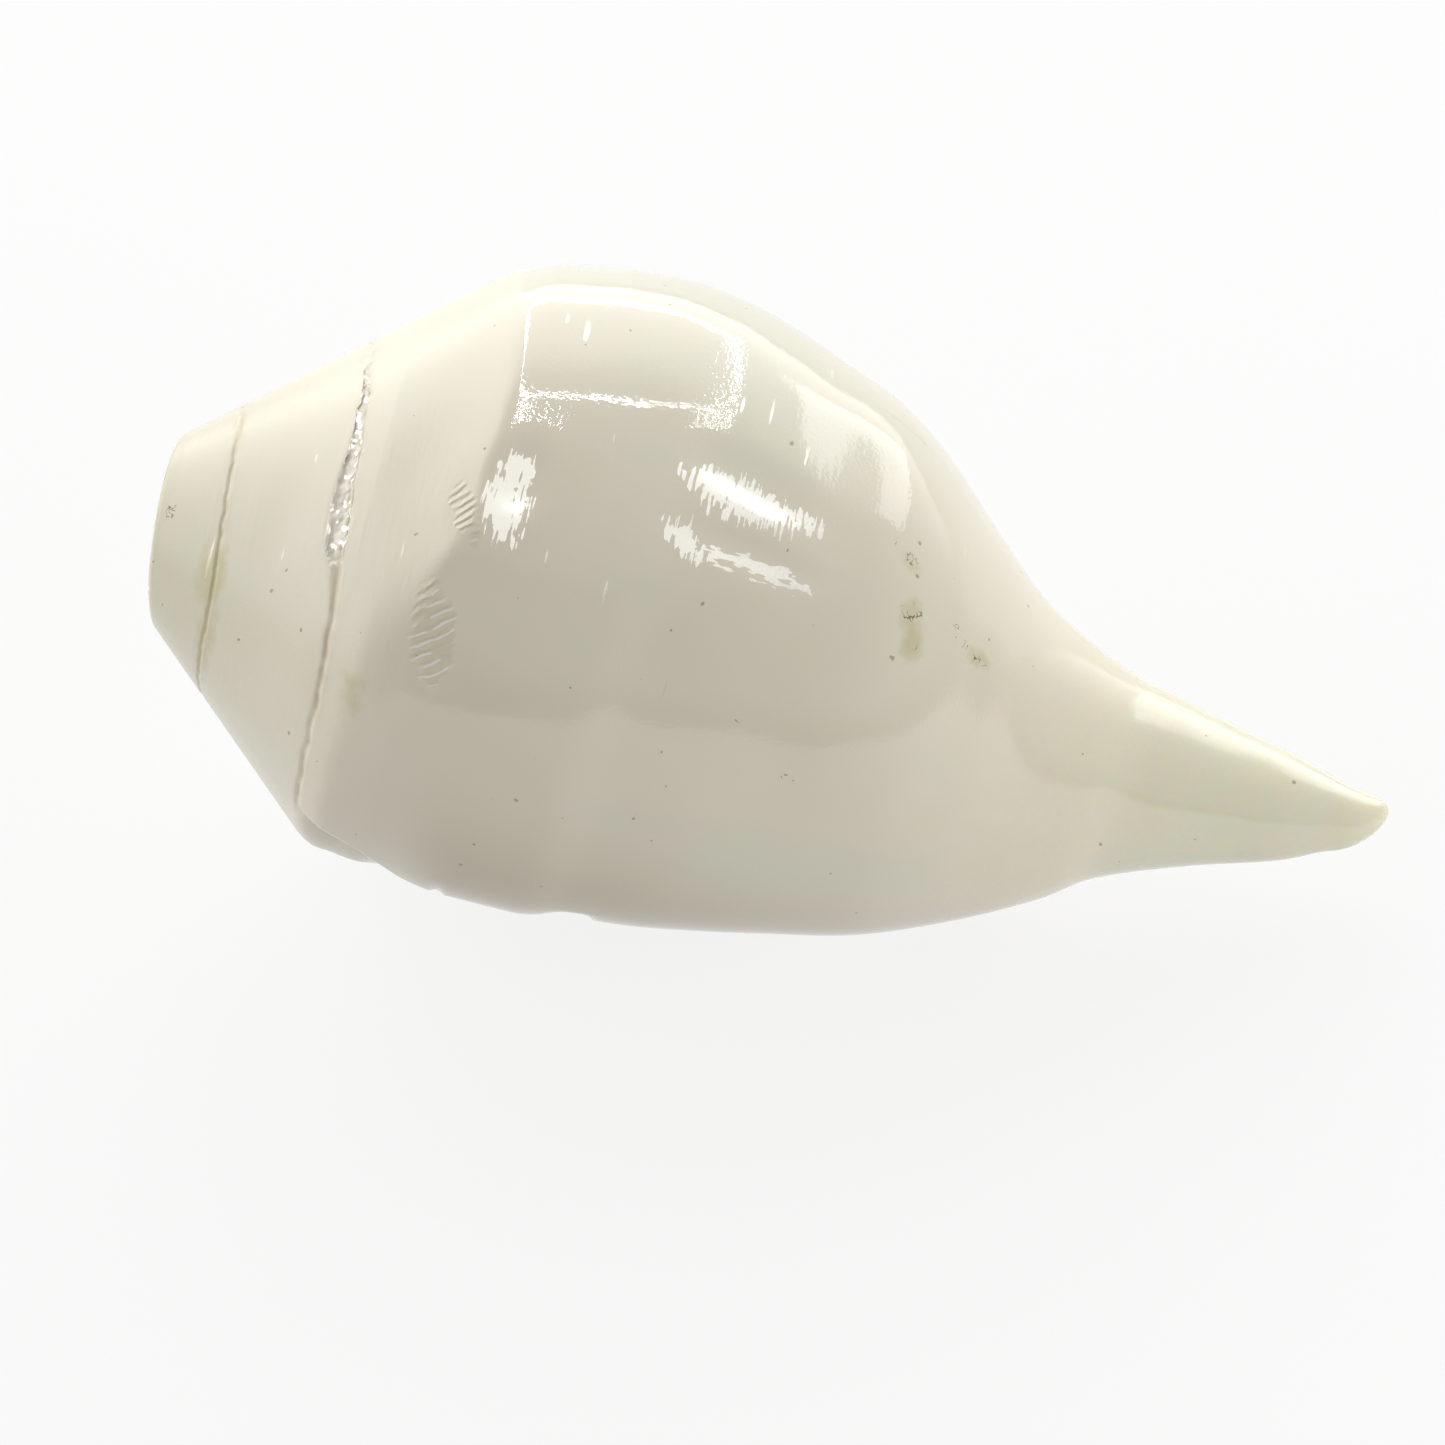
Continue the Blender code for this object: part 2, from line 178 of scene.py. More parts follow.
# Ovals on the surface that the finish treats in its own way: place along the axis, degrees from
# the top, half length, half width, lean in degrees, strength
# The first two kinds are partly worn patches and partly painted highlights: bright metal placed where the
# dents catch the light
BURNISH_AND_HIGHLIGHT = [(74.2, 21.7, 7.0, 2.9, 5.0, 1.0), (81.0, 21.4, 3.4, 1.5, 4.0, 0.8),
             (69.1, 31.6, 3.1, 1.6, 36.0, 1.0), (49.9, 26.9, 1.9, 2.3, 10.0, 1.0),
             (49.7, 33.6, 2.7, 4.4, -6.0, 1.0)]
SCORED_AND_HIGHLIGHT = [(77.6, 32.4, 6.4, 1.3, 0.0, 1.0)]
WRINKLED = [(45.7, 36.0, 1.3, 4.2, -25.0, 0.4), (45.6, 57.0, 2.6, 6.4, -12.0, 1.0)]
STAINED = [(20.0, 64.0, 2.2, 5.0, 0.0, 1.0), (20.9, 90.0, 1.4, 9.0, 0.0, 0.7),
           (38.4, 72.6, 1.9, 3.4, 0.0, 0.5), (94.4, 19.5, 1.8, 1.5, 0.0, 0.6),
           (95.6, 30.5, 1.7, 2.6, 0.0, 0.9), (96.5, 35.0, 1.8, 2.8, 0.0, 1.0),
           (104.8, 31.6, 2.0, 1.4, 20.0, 0.9), (91.0, -15.0, 6.0, 0.7, 0.0, 0.6),
           (33.6, -70.0, 1.5, 5.0, 0.0, 0.6), (20.0, -120.0, 1.5, 5.0, 0.0, 0.6),
           (62.0, -95.0, 2.5, 1.5, 10.0, 0.7)]
PITTED = [(93.6, 18.3, 2.2, 1.1, 30.0, 1.0), (95.6, 30.0, 1.6, 1.6, 0.0, 0.8),
          (96.6, 36.0, 1.0, 1.0, 0.0, 0.8), (101.8, 28.6, 2.2, 0.8, 40.0, 0.9),
          (104.8, 32.2, 1.8, 0.8, 20.0, 0.8), (86.7, 68.0, 1.1, 0.8, 0.0, 1.0),
          (62.0, -95.0, 1.8, 1.2, 10.0, 1.0), (13.4, 41.0, 0.7, 1.2, 0.0, 1.0),
          (13.4, 47.0, 0.6, 0.9, 0.0, 1.0)]
FAR_FROM_OVALS = -9.0      # strength where no oval is near
# Worn dips in the edge of the outer lip: place along the axis, width before, width after, depth
LIP_DIPS = [(53.3, 1.1, 0.9, 0.5), (69.7, 5.0, 2.4, 1.15), (96.0, 4.0, 3.0, 0.35)]
LIP_DIP_TURN = 15.0        # degrees over which a dip runs out behind the lip
LIP_ROUND = 1.2            # radius of the edge of the lip
LIP_ROUND_REACH = 12.0     # length from the suture over which the edge gets its full roundness

# Finish, in metres from the spire's point: where a tint starts and ends, and its strength there
# The canal's tint is partly its yellowish cream and partly a painted glow, pushed near white to stand in
# for light through the thin canal
CANAL_TINT_AND_GLOW = (0.098, 0.135, 0.0, 1.0)
TRANSLUCENT = (0.100, 0.135, 0.0, 1.0)
SPIRE_TINT = (0.014, 0.033, 0.6, 0.0)
RIM_TINT = (0.0126, 0.0150, 0.8, 0.0)
# Painted highlight: the bright scratches show only high up on the shell, where the light catches them
LIT_SCRATCHES_ABOVE = (0.047, 0.058, 0.0, 0.7)  # the same, by height above the floor
# Millimetres from the spire's point over which the lip's tint starts and ends, and degrees
# behind the lip over which it fades out. The tint is partly the lip's brown and partly painted
# shade on the down-facing lower edge
LIP_BROWN_AND_SHADE_FROM, LIP_BROWN_AND_SHADE_TO, LIP_BROWN_AND_SHADE_TURNS = (46.0, 56.0), (115.0, 135.0), (2.0, 54.0)
INSIDE_DEPTHS = (1.6, 2.8)  # millimetres below the outside: the colour of the inside starts, is full
INSIDE_FROM = (CUT_X + 1.0, CUT_X + 3.0)
GROUND_ENDS = (-0.6, 0.2)  # millimetres past the shoulder where the brushed finish ends
# Dirt in the seams: strength whorl by whorl, its share where the groove is flush, the depth of
# groove that holds all of it, and how far beside the seam it lies and how wide, in millimetres
SEAM_STRENGTHS, SEAM_FLUSH, SEAM_SUNK = (0.7, 1.0, 1.0), 0.4, 0.3
SEAM_MARK_ASIDE, SEAM_MARK_WIDTH = 0.15, 0.75
# Millimetres from the seam where the open recess starts and ends, and its least full depth
OPEN_MARK_FROM, OPEN_MARK_TO, OPEN_SUNK = (-0.6, 0.0), (2.6, 3.8), 0.25
WRINKLE_LEAN = 26.0        # degrees between the ridges of the wrinkles and the coiling axis
RIDGE_TURNS = 6.0          # radians of the wrinkles' wave to a millimetre

# Rest
ROLL = -4.5                # degrees round the coiling axis
TILT = 13.2                # degrees, canal end down

# Mesh
ROWS_PER_WHORL = 52
WHORLS_UP = 2.15           # how far the rows reach up the spire from the lip
ROWS_CROWDED = 0.5         # how much closer the rows lie at the suture
BODY_ROWS = 104
TIP_ROWS = 10
COLUMNS = 290
LIP_COLUMNS = [0.0, 0.15, 0.4, 0.8, 1.3, 1.9]  # degrees behind the lip
PAST_LIP_COLUMNS = 2.6     # where the evenly spread columns start
COLUMNS_CROWDED = 0.045    # how much closer the columns lie on the near side
MOST_SMOOTHED = 38.0       # degrees between faces that are still shaded as one surface
SAME_WAY = 0.99999         # cosine of the angle between faces that lie in one plane
MERGED_WITHIN = 1e-7       # metres

# Camera: its place in metres, and a line of sight in degrees that was fitted to the photo
CAMERA_PLACE = (0.03167, -0.30663, 0.33278)
SIGHT_AZIMUTH, SIGHT_ELEVATION = 7.6, 43.0
SIGHT_PIXEL = (704.6, 548.0)  # the pixel of the photo that this line passes through
FULL_FRAME = 1445.0        # pixels along the photo's side
FOCAL_PIXELS = 3687.0
SENSOR_WIDTH = 36.0        # millimetres
CAMERA_LENS = 91.86        # millimetres, the focal length on that sensor

# Window behind the shell, whose bright edge shows in the polish: corners, width of the next edge
WINDOW = [((-0.45, 1.5, 0.38), 0.016), ((0.38, 1.5, 0.42), 0.016), ((1.20, 1.5, 2.05), 0.035),
          ((0.55, 1.5, 2.75), 0.075), ((-0.24, 1.5, 2.80), 0.03)]
# Other lamps: the two ends of a strip, and its width
SIDE_PANEL = ((1.3, -0.8, 0.18), (1.3, 0.1, 0.18), 0.35)
SIDE_DOOR = ((0.92, 1.73, 0.38), (1.50, 0.90, 0.97), 0.4)
# Room, by direction: a start and an end, and the share of light at each where two more follow.
# WALLS_MEET and IN_FRONT go from -1 in front of the shell to 1 behind it, the others from -1
# straight down to 1 straight up
LIGHT_ASIDE = -32.0        # degrees by which the bright wall is turned towards the spire
WALLS_MEET = (-0.35, 0.75)
OVERHEAD = (0.56, 1.0, 1.0, 0.0)
HORIZON = (0.0, 0.36, 1.2, 1.0)
IN_FRONT = (-0.3, 0.1, 1.0, 0.0)
SKIRTING = (0.0, 0.25, 0.05, 1.0)  # the dark foot of the front wall, as the polish mirrors it
CEILING = (0.45, 0.75)
FLOOR_ENDS = (-0.02, 0.02)  # where the light from below gives way to the walls'
ROOM_COLOUR = (1.0, 0.995, 0.98)


def smooth(t):
    t = np.clip(t, 0.0, 1.0)
    return t * t * (3.0 - 2.0 * t)


def fade(value, start, end):
    """Rises smoothly from 0 at start to 1 at end."""
    return smooth((value - start) / (end - start))


def between(value, rises, falls):
    """Rises from 0 to 1 over the first pair of values, and falls back to 0 over the second."""
    return fade(value, *rises) * (1.0 - fade(value, *falls))


def along(points, x, column=1):
    """Height of the smooth curve through the points."""
    table = np.array(points, float)
    xs, ys = table[:, 0], table[:, column]
    slopes = np.diff(ys) / np.diff(xs)
    before, after = slopes[:-1], slopes[1:]
    rising = before * after > 0
    middle = np.where(rising, 2 * before * after / np.where(rising, before + after, 1.0), 0.0)
    tangents = np.concatenate([slopes[:1], middle, slopes[-1:]])
    x = np.clip(x, xs[0], xs[-1])
    i = np.clip(np.searchsorted(xs, x, side="right") - 1, 0, len(xs) - 2)
    step = xs[i + 1] - xs[i]
    t = (x - xs[i]) / step
    rise = (2 * t**3 - 3 * t**2 + 1) * ys[i] + (3 * t**2 - 2 * t**3) * ys[i + 1]
    lean = (t**3 - 2 * t**2 + t) * tangents[i] + (t**3 - t**2) * tangents[i + 1]
    return rise + lean * step


def lip_turn(x):
    """Where the lip ends at x, in degrees from the top."""
    return along(LIP_TURN, x)


def from_top(turn):
    """The same turn, between -180 and 180 degrees from the top."""
    return (turn + 180.0) % 360.0 - 180.0


def body_radius(x, back_turn):
    """Radius of the round body at x, back_turn degrees (0 to 360) behind the lip."""
    back, lip = along(BACK, x), along(LIP, x)
    share = smooth(back_turn / 180.0)
    younger = lip * (1.0 - share) + back * share
    share = np.clip((back_turn - 180.0) / 180.0, 0.0, 1.0)
    belly = along(BACK, x / BELLY_SCALE) * BELLY_SCALE
    recess = RECESS_DEPTH * fade(x, RECESS_FROM, RECESS_TO)
    belly *= 1.0 - recess * smooth(1.0 - (360.0 - back_turn) / RECESS_TURN)
    pillar = np.minimum(back, CANAL_PILLAR)
    belly = 0.5 * (belly + pillar + np.sqrt((belly - pillar) ** 2 + PILLAR_BLEND**2))
    belly = np.minimum(np.minimum(belly, back), lip - LEAST_LIP_STEP)
    older = back * (1.0 - share) + belly * share
    return np.where(back_turn < 180.0, younger, older)


def rounded_lower(first, second, blend):
    """The lower of two heights, with the edge where they meet rounded off."""
    share = np.clip(0.5 + 0.5 * (first - second) / blend, 0.0, 1.0)
    return first * (1.0 - share) + second * share - blend * share * (1.0 - share)


def outer_radius(x, back_turn):
    """Radius of the outside at x, back_turn degrees (0 to 360) behind the lip."""
    spire = x * SPIRE_SLOPE
    body = body_radius(x, back_turn)
    grown = smooth((x - SUTURE_AT_LIP) / BODY_REACH)
    plain = spire * (1.0 - grown) + rounded_lower(body, spire, PLAIN_SHOULDER_BLEND) * grown
    turn = from_top(lip_turn(x) - back_turn)
    edge = along(SHOULDER, turn)
    gap = edge * SPIRE_SLOPE - body_radius(edge, back_turn)
    rise = along(SHOULDER, turn, 3) * gap
    raised = body + rise * np.exp(-np.maximum(x - edge, 0.0) / SHOULDER_REACH)
    ground = spire - (gap - rise) * np.maximum(x - SUTURE_AT_LIP, 0.0) / (edge - SUTURE_AT_LIP)
    crisp = rounded_lower(raised, ground, along(SHOULDER, turn, 2))
    share = between(turn, SHOULDER_FROM, SHOULDER_TO)
    return plain * (1.0 - share) + crisp * share


def around(x, radius, turn):
    """Points at these turns from the top, in degrees."""
    turn = np.radians(turn)
    return np.stack([x + 0.0 * turn, -radius * np.sin(turn), radius * np.cos(turn)], axis=-1)


def wander(turn):
    """Share by which the seam strays towards the canal at this turn from the top."""
    return SUTURE_WANDER * (1.0 - fade(np.abs(from_top(turn)), *WANDER_TURNS))


def grain(places, size, seed):
    """Smooth noise between -1 and 1 at each place, with lumps of about this size."""
    flat = np.reshape(places, (-1, 3)) / size + seed
    values = np.fromiter((noise.noise(p) for p in flat.tolist()), float, len(flat))
    return values.reshape(np.shape(places)[:-1])


def row_places():
    """Each row's place at the lip, and how fully it follows the spiral from there."""
    steps = np.arange(-int(WHORLS_UP * ROWS_PER_WHORL), ROWS_PER_WHORL + 1) / ROWS_PER_WHORL
    whorls = steps - ROWS_CROWDED * np.sin(2 * pi * steps) / (2 * pi)
    spiral = SUTURE_AT_LIP * WHORL_GROWTH ** whorls
    start = spiral[-1]
    body = np.linspace(start, ROUNDED_FROM, BODY_ROWS + 1)[1:]
    tip = ROUNDED_FROM + TIP_ROUND * np.sin(np.linspace(0.0, pi / 2, TIP_ROWS + 1)[1:])
    places = np.concatenate([spiral, body, tip])
    follow = np.clip((TIP_X - places) / (TIP_X - start), 0.0, 1.0)
    return places, np.where(places <= start, 1.0, follow)


def column_turns():
    """Degrees behind the lip of each column: close at the rounded lip, closer on the near side."""
    rest = np.linspace(0.0, 1.0, COLUMNS - len(LIP_COLUMNS))
    rest = rest - COLUMNS_CROWDED * np.sin(2 * pi * rest)
    return np.concatenate([LIP_COLUMNS, PAST_LIP_COLUMNS + (360.0 - PAST_LIP_COLUMNS) * rest])


def suture_places(back_turn, whorl):
    """Where the seam lies this many whorls up the spire, without its small jags."""
    turn = lip_turn(0.0) - back_turn
    return SUTURE_AT_LIP * WHORL_GROWTH ** -(back_turn / 360.0 + whorl) * (1.0 + wander(turn))


def suture_jags(back_turn, whorl):
    """How far the seam jags off its smooth line, in millimetres along the axis."""
    total = back_turn + 360.0 * whorl
    spots = np.stack([total, 0.0 * total, 0.0 * total], axis=-1)
    size = JAG_SIZES[0] + JAG_SIZES[1] * open_suture(total)
    return size * (grain(spots, 5.0, 3.1) + 0.6 * grain(spots, 2.1, 8.7))


def open_suture(total):
    """1 along the stretch where the seam is an open recess, 0 elsewhere."""
    return between(total, OPEN_FROM, OPEN_TO)


def how_far(u, v, lean, half_length, above, below):
    """Square of the way from an oval's middle, 1 at its edge, in its own leaning frame."""
    lean = radians(lean)
    across = v * cos(lean) - u * sin(lean)
    lengthwise = u * cos(lean) + v * sin(lean)
    return (lengthwise / half_length) ** 2 + (across / np.where(across < 0.0, above, below)) ** 2


def cut_sutures(x, back_turn):
    """Moves x with the jagged seams, and gives the depth of their grooves and where they are chipped."""
    groove = np.zeros_like(x)
    rough = np.zeros_like(x)
    for whorl in (-1, 0, 1, 2):
        total = back_turn[0] + 360.0 * whorl
        away = (x - suture_places(back_turn, whorl)) * SLANT
        x = x + suture_jags(back_turn[0], whorl) * np.exp(-((away / JAG_REACH) ** 2))
        deep, wide = along(SUTURE, total), along(SUTURE, total, 2)
        deep = np.where(total < SUTURE[0][0], 0.0, deep)
        opened = open_suture(total)
        floor = OPEN_FLOOR * opened
        older = 1.0 - smooth((-away / wide - floor) / (1.0 - floor))
        younger = 1.0 - smooth(away / SUTURE_RISE)
        groove += deep * np.where(away < 0.0, older, younger)
        rough += np.where(away < 0.0, older, 0.0) * opened
    return x, groove, rough


def press_dents(radius, x, turn, arc):
    """Lowers the radius by the shallow dents. arc is the length of a degree round the shell."""
    for middle, at, half_length, above, below, depth, lean in DENTS:
        reach = how_far(x - middle, from_top(turn - at) * arc, lean, half_length, above, below)
        radius -= depth * np.clip(1.0 - reach, 0.0, 1.0) ** 2


def wear_lip(radius, x, back_turn):
    """Lowers the radius by the worn dips in the edge of the lip."""
    for middle, before, after, depth in LIP_DIPS:
        dip = between(x, (middle - before, middle), (middle, middle + after))
        radius -= depth * dip * (1.0 - smooth(back_turn / LIP_DIP_TURN))


def quarter_round(size, share):
    """Drop of a rounded edge of this size, at this share of the way out to the edge."""
    return size * (1.0 - np.sqrt(1.0 - share**2))


def shape_outside(places, follow, back_turn):
    """The outside, rows by columns, in millimetres round the coiling axis."""
    back_turn = np.broadcast_to(back_turn, (len(places), back_turn.shape[-1]))
    x = places[:, None] * WHORL_GROWTH ** (-follow[:, None] * back_turn / 360.0)
    whorls = np.log(places[:, None] / SUTURE_AT_LIP) / np.log(WHORL_GROWTH)
    strays = wander(lip_turn(0.0) - back_turn) * (1.0 - smooth(whorls / WANDER_WHORLS))
    x, groove, rough = cut_sutures(x * (1.0 + strays), back_turn)
    radius = outer_radius(x, back_turn)
    turn = lip_turn(x) - back_turn
    arc = radians(1.0) * radius
    points = around(x, radius, turn)
    radius = radius - groove + CHIP_HEIGHT * rough * grain(points, CHIP_SIZE, 5.0)

    under = smooth(1.0 - (360.0 - back_turn) / UNDER_LIP_TURN)
    radius -= UNDER_LIP_DEPTH * under * between(x, UNDER_LIP_FROM, UNDER_LIP_TO)
    press_dents(radius, x, turn, arc)
    wear_lip(radius, x, back_turn)
    waves = sum(height * grain(points, size, seed) for height, size, seed in WAVES)
    radius += waves * between(x, WAVES_FROM, WAVES_TO)

    rounded = quarter_round(LIP_ROUND, np.clip(1.0 - back_turn * arc / LIP_ROUND, 0.0, 1.0))
    rounded = rounded * smooth((x - SUTURE_AT_LIP) / LIP_ROUND_REACH)
    radius -= np.minimum(rounded, 0.25 * radius)
    from_cut = (x + CUT_LEAN * radius * np.cos(np.radians(turn)) - CUT_X) * SLANT
    radius -= quarter_round(CUT_ROUND, np.clip(1.0 - from_cut / CUT_ROUND, 0.0, 1.0))
    past = np.clip((x - ROUNDED_FROM) / TIP_ROUND, 0.0, 1.0)
    radius = radius * np.sqrt(np.clip(1.0 - past**2, 0.0, 1.0))
    lift = around(0.0, TIP_LIFT, np.full(1, TIP_LIFT_TURN))
    return around(x, radius, turn) + lift * past[..., None] ** 2


def closed_curve(section):
    """The closed smooth curve through a section's points."""
    knots = np.array(section, float)
    found = []
    for i in range(len(knots)):
        a, b, c, d = (knots[(i + k) % len(knots)] for k in (-1, 0, 1, 2))
        for t in np.arange(CURVE_STEPS) / CURVE_STEPS:
            found.append(0.5 * (2 * b + (c - a) * t + (2 * a - 5 * b + 4 * c - d) * t**2
                                + (3 * b - a - 3 * c + d) * t**3))
    return np.array(found)


def hollow_scale(back_turn):
    if back_turn < 360.0:
        return HOLLOW_INNER_SCALE ** ((back_turn - 180.0) / 180.0)
    return HOLLOW_INNER_SCALE * WHORL_GROWTH ** ((360.0 - back_turn) / 360.0)


def hollow_ring(back_turn):
    """Section of the hollow, back_turn degrees behind the lip."""
    at_lip, at_back = closed_curve(HOLLOW_LIP), closed_curve(HOLLOW_BACK)
    if back_turn >= 180.0:
        section = at_back * hollow_scale(back_turn)
    else:
        share = smooth(max(back_turn, 0.0) / 180.0)
        section = at_lip * (1.0 - share) + at_back * share
    if back_turn < 0.0:
        outer = CURVE_STEPS * HOLLOW_BACK.index(max(HOLLOW_BACK))
        lift = np.where(np.arange(len(section)) < outer, *PAST_LIP_LIFTS)
        section[:, 1] += lift * -back_turn / PAST_LIP_TURN
    x, radius = section[:, 0], section[:, 1]
    return around(x, radius, lip_turn(np.maximum(x, STRAIGHT_LIP_FROM)) - back_turn)


def select_only(piece):
    bpy.ops.object.select_all(action="DESELECT")
    piece.select_set(True)
    bpy.context.view_layer.objects.active = piece


def corners_of(piece):
    corners = np.empty(len(piece.data.vertices) * 3)
    piece.data.vertices.foreach_get("co", corners)
    return corners.reshape(-1, 3)


def rolled_sheet(name, points):
    """An open tube with one corner for each point, rows by columns, joined along its length."""
    rows, columns = points.shape[:2]
    bpy.ops.object.select_all(action="DESELECT")
    bpy.ops.mesh.primitive_grid_add(x_subdivisions=columns - 1, y_subdivisions=rows - 1, size=2.0)
    sheet = bpy.context.active_object
    sheet.name = name
    share = (corners_of(sheet)[:, :2] + 1.0) / 2.0
    column, row = np.rint(share * (columns - 1, rows - 1)).astype(int).T
    sheet.data.vertices.foreach_set("co", np.ravel(points[row, column]) * MM)
    sheet.data.update()
    bpy.ops.object.mode_set(mode="EDIT")
    bpy.ops.mesh.select_all(action="SELECT")
    bpy.ops.mesh.remove_doubles(threshold=MERGED_WITHIN)
    bpy.ops.object.mode_set(mode="OBJECT")
    return sheet


def select_open_edges():
    bpy.ops.mesh.select_all(action="DESELECT")
    bpy.ops.mesh.select_mode(type="EDGE")
    bpy.ops.mesh.select_non_manifold(extend=False, use_wire=False, use_boundary=True,
                                     use_multi_face=False, use_non_contiguous=False,
                                     use_verts=False)


def face_outwards():
    """Points all faces outwards and leaves edit mode."""
    bpy.ops.mesh.select_all(action="SELECT")
    bpy.ops.mesh.normals_make_consistent(inside=False)
    bpy.ops.object.mode_set(mode="OBJECT")


def tube(name, rings):
    """A closed tube through rings of points, for cutting."""
    rings = np.array(rings)
    piece = rolled_sheet(name, np.concatenate([rings, rings[:, :1]], axis=1))
    bpy.ops.object.mode_set(mode="EDIT")
    select_open_edges()
    bpy.ops.mesh.edge_face_add()
    face_outwards()
    return piece


def circle(middle, radius, corners):
    """A ring of points square to the coiling axis."""
    turns = np.arange(corners) * 2 * pi / corners
    ring = np.stack([0 * turns, radius * np.cos(turns), radius * np.sin(turns)], axis=-1)
    return np.array(middle) + ring


def make_outside():
    """The outside as one solid: the spire is cut off flat, and the step at the lip is closed."""
    places, follow = row_places()
    shell = rolled_sheet("polished_shell", shape_outside(places, follow, column_turns()))
    bpy.ops.object.mode_set(mode="EDIT")
    bpy.ops.mesh.select_mode(type="EDGE")
    bpy.ops.mesh.select_all(action="SELECT")
    bpy.ops.mesh.bisect(plane_co=(CUT_X * MM, 0.0, 0.0), plane_no=(1.0, 0.0, CUT_LEAN),
                        use_fill=False, clear_inner=True)
    bpy.ops.mesh.edge_face_add()
    bpy.ops.mesh.select_all(action="SELECT")
    bpy.ops.mesh.delete_loose(use_verts=True, use_edges=True, use_faces=False)
    select_open_edges()
    bpy.ops.mesh.fill(use_beauty=True)
    face_outwards()
    return shell


def make_hollow():
    """The spiral chamber, from the aperture up to the cut spire."""
    last = 180.0
    while hollow_scale(last) > INNERMOST_SCALE:
        last += 4 * HOLLOW_STEP
    past_lip = [-PAST_LIP_TURN, -PAST_LIP_TURN / 2]
    turns = np.concatenate([past_lip, np.arange(0.0, last, HOLLOW_STEP)])
    return tube("hollow", [hollow_ring(turn) for turn in turns])


def make_blow_hole():
    """A round hole with a soft rim, from the cut face into the chamber."""
    rings = []
    for deep in BLOW_HOLE_DEPTHS:
        flare = max(1.0 - max(deep, 0.0) / BLOW_HOLE_ROUND, 0.0)
        radius = BLOW_HOLE_RADIUS + BLOW_HOLE_ROUND * (1.0 - (1.0 - flare**2) ** 0.5)
        rings.append(circle((CUT_X + deep, 0.0, 0.0), radius, BLOW_HOLE_CORNERS))
    return tube("blow_hole", rings)


def make_canal():
    """The open channel along the underside of the canal."""
    rings = []
    end = TIP_X + CANAL_PAST_TIP
    for x in np.linspace(CANAL_FROM, end, CANAL_RINGS):
        opening = fade(x, CANAL_FROM, CANAL_WIDEST_AT)
        closing = max(x - CANAL_WIDEST_AT, 0.0) / (end - CANAL_WIDEST_AT)
        radius = CANAL_START_RADIUS * (1 - opening) + CANAL_WIDEST_RADIUS * opening
        radius += (CANAL_END_RADIUS - CANAL_WIDEST_RADIUS) * closing
        outside = float(outer_radius(min(x, ROUNDED_FROM), CANAL_OUTSIDE_TURN))
        depth = max(outside - CANAL_SUNK * radius, 0.0)
        middle = around(x, depth, lip_turn(x) + CANAL_BESIDE_LIP)
        rings.append(circle(middle, radius, CANAL_CORNERS))
    return tube("canal", rings)


def cut_away(shell, cutter):
    select_only(shell)
    boolean = shell.modifiers.new(cutter.name, "BOOLEAN")
    boolean.operation = "DIFFERENCE"
    boolean.solver = "EXACT"
    boolean.object = cutter
    bpy.ops.object.modifier_apply(modifier=boolean.name)
    bpy.data.objects.remove(cutter, do_unlink=True)


def lay_down(shell):
    """Tilts the shell as it rests and fits it into the solid's box, bottom centre at the origin."""
    turned = Matrix.Rotation(radians(TILT), 4, "Y") @ Matrix.Rotation(radians(ROLL), 4, "X")
    shell.data.transform(turned)
    share = (np.array(CAD_BOX[1]) - CAD_BOX[0]) / np.ptp(corners_of(shell), axis=0)
    fit = Matrix.Diagonal((*np.minimum(share, 1.0), 1.0))
    shell.data.transform(fit)
    low, high = corners_of(shell).min(axis=0), corners_of(shell).max(axis=0)
    shift = Matrix.Translation((-(low[0] + high[0]) / 2, -(low[1] + high[1]) / 2, -low[2]))
    shell.data.transform(shift)
    return shift @ fit @ turned


def flatten_cut(shell, laid):
    """Shades the flat cut face flat, so that its rim stays round."""
    facing = (laid.to_3x3() @ Vector((-1.0, 0.0, -CUT_LEAN))).normalized()
    for face in shell.data.polygons:
        if face.normal.dot(facing) > SAME_WAY:
            face.use_smooth = False


def mark(shell, name, values):
    attribute = shell.data.attributes.new(name, "FLOAT", "POINT")
    attribute.data.foreach_set("value", np.asarray(values, np.float32))


def mark_seams(shell, x, back_turn, sunk, outside):
    """Marks the sutures, and the stretch where the suture is an open recess."""
    seam = np.zeros_like(x)
    filled = SEAM_FLUSH + (1.0 - SEAM_FLUSH) * smooth(sunk / SEAM_SUNK)
    for whorl, strength in enumerate(SEAM_STRENGTHS):
        away = x - suture_places(back_turn, whorl) + SEAM_MARK_ASIDE
        near = np.exp(-((away / SEAM_MARK_WIDTH) ** 2)) * strength
        seam = np.maximum(seam, near * filled)
    mark(shell, "seam", seam * outside)
    away = (suture_places(back_turn, 0) - x) * SLANT
    opened = open_suture(back_turn) * smooth(sunk / OPEN_SUNK)
    mark(shell, "recess", opened * between(away, OPEN_MARK_FROM, OPEN_MARK_TO))


def mark_ovals(shell, x, turn, arc):
    """Marks each kind of oval: 0 at its edge, up to its strength in the middle."""
    for name, ovals in (("burnish_and_highlight", BURNISH_AND_HIGHLIGHT), ("scored_and_highlight", SCORED_AND_HIGHLIGHT), ("wrinkled", WRINKLED),
                        ("stained", STAINED), ("pitted", PITTED)):
        share = np.full_like(x, FAR_FROM_OVALS)
        for middle, at, half_length, half_width, lean, strength in ovals:
            reach = how_far(x - middle, from_top(turn - at) * arc, lean, half_length, half_width,
                            half_width)
            share = np.maximum(share, strength * (1.0 - reach))
        mark(shell, name, share)


